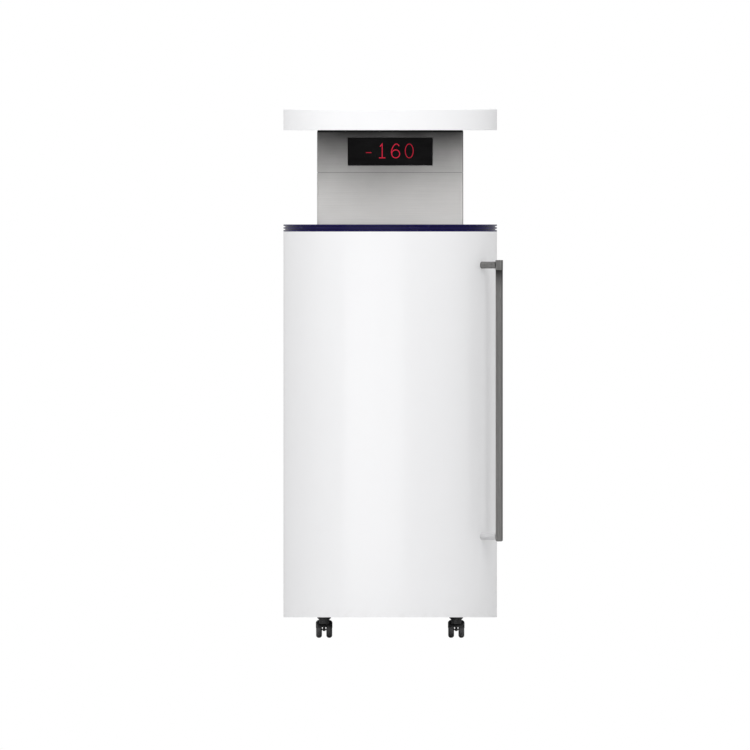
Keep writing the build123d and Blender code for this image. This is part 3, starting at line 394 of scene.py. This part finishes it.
def dress_nodes():
    dress(white_paint(), "white_paint")
    wear(frame["nodes"]["lid_cover"], white_paint("lid_paint", roughness=0.5, coat=0.1, tone=0.85))
    # painted shade: the lower post's paint is toned down to the cabinet's shaded grey there, so it shows
    # only as a soft grey patch
    wear(frame["nodes"]["grip_post_lower"], white_paint("post_shade_paint", roughness=0.6, coat=0.0, tone=0.58))
    dress(grey_paint(), "grey_paint")
    dress(navy_trim(), "navy_trim")
    dress(brushed_steel(), "brushed_steel")
    # painted shade: the neck housing's steel carries the lid's shadow in its colour
    lid_shaded = brushed_steel("lid_shaded_steel", lid_shade_depth=LID_SHADE_DEPTH)
    wear(frame["nodes"]["neck_sleeve"], lid_shaded)
    wear(frame["nodes"]["display_head"], lid_shaded)
    dress(brushed_steel("rack_metal", grain_stretch=60.0, tone=0.6), "rack_metal")
    dress(plastic("frame_steel", (0.10, 0.105, 0.11), 0.5), "frame_steel")
    dress(bright_zinc(), "screw_steel")
    dress(bar_metal(), "bar_metal")
    # painted shadow: the grip bar is darkened under its block
    wear(frame["nodes"]["grip_bar"], bar_metal("block_shadowed_bar_metal", block_shadow_depth=0.95))
    dress(dull_metal("vessel_metal", 0.62, (1.0, 1.0, 8.0), 0.36), "vessel_metal")
    dress(neck_laminate(), "neck_laminate")
    dress(plastic("adsorbent", (0.11, 0.11, 0.11), 0.8), "adsorbent")
    rubber = black_rubber()
    dress(rubber, "black_rubber")
    mouth_seal(rubber)
    dress(screen_plastic(), "screen_plastic")
    dress(board_laminate(), "board_laminate")
    dress(plastic("inlet_plastic", (0.014, 0.014, 0.014)), "inlet_plastic")
    dress(plastic("plug_skin", (0.70, 0.71, 0.68), 0.4, 500.0, 0.93), "plug_skin")
    dress(foam(), "foam")
    dress(plastic("caster_steel", (0.01, 0.01, 0.0105), 0.35), "caster_steel")
    dress(dull_metal("caster_axle", 0.30, (1.0, 1.0, 1.0), 0.45), "caster_axle")
    dress(plastic("caster_hood", (0.004, 0.004, 0.0045), 0.45), "caster_hood")
    dress(plastic("caster_tread", (0.045, 0.045, 0.047), 0.55, 700.0, 0.6), "caster_tread")
    dress(red_light(), "red_light")
    foil = insulation_foil()
    dress(foil, "insulation_foil")
    crinkled_wrap(foil)


# ---------------------------------------------------------------- pieces


def rounded_square(half, corner, z):
    """Points round a square with rounded corners, the same number whatever its size."""
    points = []
    for quarter in range(4):
        for step in range(SEAL_CORNER_STEPS + 1):
            turn = (quarter + step / SEAL_CORNER_STEPS) * pi / 2
            middle = (quarter + 0.5) * pi / 2
            x = (half - corner) * (1 if cos(middle) > 0 else -1) + corner * cos(turn)
            y = (half - corner) * (1 if sin(middle) > 0 else -1) + corner * sin(turn)
            points.append((x, y, z))
    return points


def seal_height(from_edge, full):
    """The seal's height at a distance from its outer edge, in millimetres."""
    ribs = [sqrt(max(0.0, 1 - ((from_edge - rib) / SEAL_RIB_HALF) ** 2)) for rib in SEAL_RIBS]
    return SEAL_BASE + (full - SEAL_BASE) * max(ribs)


def mesh_object(name, points, faces, material):
    mesh = bpy.data.meshes.new(name)
    mesh.from_pydata(points, [], faces)
    mesh.polygons.foreach_set("use_smooth", [True] * len(mesh.polygons))
    mesh.materials.append(material)
    made = bpy.data.objects.new(name, mesh)
    bpy.context.collection.objects.link(made)
    return made


def mouth_seal(material):
    """The ribbed rubber seal round the mouth, swept along the housing's upper edge."""
    low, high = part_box("mouth_gasket")
    full = (high.z - low.z) / MM
    profile = [(d, seal_height(d, full)) for d in range(SEAL_W + 1)] + [(SEAL_W, 0.0), (0, 0.0)]
    rings = []
    for d, h in profile:
        rings.append(rounded_square(high.x - d * MM, max(SEAL_CORNER - d, 0.5) * MM, low.z + h * MM))
    length = len(rings[0])
    faces = []
    for ring in range(len(rings)):
        near, far = ring * length, (ring + 1) % len(rings) * length
        for k in range(length):
            beyond = (k + 1) % length
            faces.append((near + k, near + beyond, far + beyond, far + k))
    seal = mesh_object("mouth_seal", [point for ring in rings for point in ring], faces, material)
    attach(seal, "root")
    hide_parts("mouth_gasket")


def crinkled_wrap(material):
    """The foil wrap: the CAD wrap's outline in a fine mesh, pushed in by folds and creases."""
    source = frame["nodes"]["insulation_wrap"]
    wrap = bpy.data.objects.new("foil_wrap", source.data.copy())
    bpy.context.collection.objects.link(wrap)
    remesh = wrap.modifiers.new("even_mesh", "REMESH")
    remesh.mode = "VOXEL"
    remesh.voxel_size = WRAP_VOXEL
    folds = bpy.data.textures.new("foil_folds", "CLOUDS")
    folds.noise_scale = WRAP_FOLD
    folds.noise_depth = 4
    push = wrap.modifiers.new("folds", "DISPLACE")
    push.texture = folds
    push.texture_coords = "LOCAL"
    push.mid_level = 0.0
    push.strength = -WRAP_CRINKLE
    wear(wrap, material)
    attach(wrap, "root")
    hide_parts("insulation_wrap")


# ---------------------------------------------------------------- studio


def camera():
    """Square on to the front, level, with no perspective, like a catalogue picture."""
    data = bpy.data.cameras.new("front_camera")
    data.type = "ORTHO"
    data.ortho_scale = VIEW_WIDTH
    data.clip_end = VIEW_REACH
    eye = bpy.data.objects.new("front_camera", data)
    eye.location = VIEW_PLACE
    eye.rotation_euler = (radians(90), 0.0, 0.0)
    bpy.context.collection.objects.link(eye)
    bpy.context.scene.camera = eye


def softbox(name, place, aim, width, height, power):
    data = bpy.data.lights.new(name, "AREA")
    data.shape = "RECTANGLE"
    data.size = width
    data.size_y = height
    data.energy = power
    lamp = bpy.data.objects.new(name, data)
    lamp.location = place
    lamp.rotation_euler = (Vector(aim) - Vector(place)).to_track_quat("-Z", "Y").to_euler()
    bpy.context.collection.objects.link(lamp)


def surround():
    """A surround that the camera sees as white, and the object as bright behind it and dim in front."""
    world = bpy.data.worlds.new("white_surround")
    bpy.context.scene.world = world
    world.use_nodes = True
    tree = world.node_tree
    background = tree.nodes["Background"]
    background.inputs["Color"].default_value = WHITE
    direction = tree.nodes.new("ShaderNodeTexCoord")
    axes = tree.nodes.new("ShaderNodeSeparateXYZ")
    tree.links.new(direction.outputs["Generated"], axes.inputs["Vector"])
    depth = tree.nodes.new("ShaderNodeMapRange")
    depth.inputs["From Min"].default_value = FRONT_Y
    depth.inputs["From Max"].default_value = BACK_Y
    depth.inputs["To Min"].default_value = FRONT_LEVEL
    depth.inputs["To Max"].default_value = BACK_LEVEL
    tree.links.new(axes.outputs["Y"], depth.inputs["Value"])
    seen = tree.nodes.new("ShaderNodeLightPath")
    level = tree.nodes.new("ShaderNodeMapRange")
    level.inputs["To Max"].default_value = 1.0
    tree.links.new(depth.outputs["Result"], level.inputs["To Min"])
    tree.links.new(seen.outputs["Is Camera Ray"], level.inputs["Value"])
    tree.links.new(level.outputs["Result"], background.inputs["Strength"])


def studio():
    """A pale floor, a white surround and soft lights all round."""
    bpy.ops.mesh.primitive_plane_add(size=FLOOR_SIZE, location=(0, 0, 0))
    floor = bpy.context.object
    floor.name = "studio_floor"
    base = (FLOOR_TONE, FLOOR_TONE, FLOOR_TONE)
    s = Surface("studio_floor", base, 0.6)
    s.tint(s.mix(s.noise(2.0), base, shade(base, 0.975)))
    floor.data.materials.append(s.material)
    surround()
    for light in SOFTBOXES:
        softbox(*light)
    bpy.context.scene.view_settings.view_transform = "Standard"


camera()
dress_nodes()
studio()
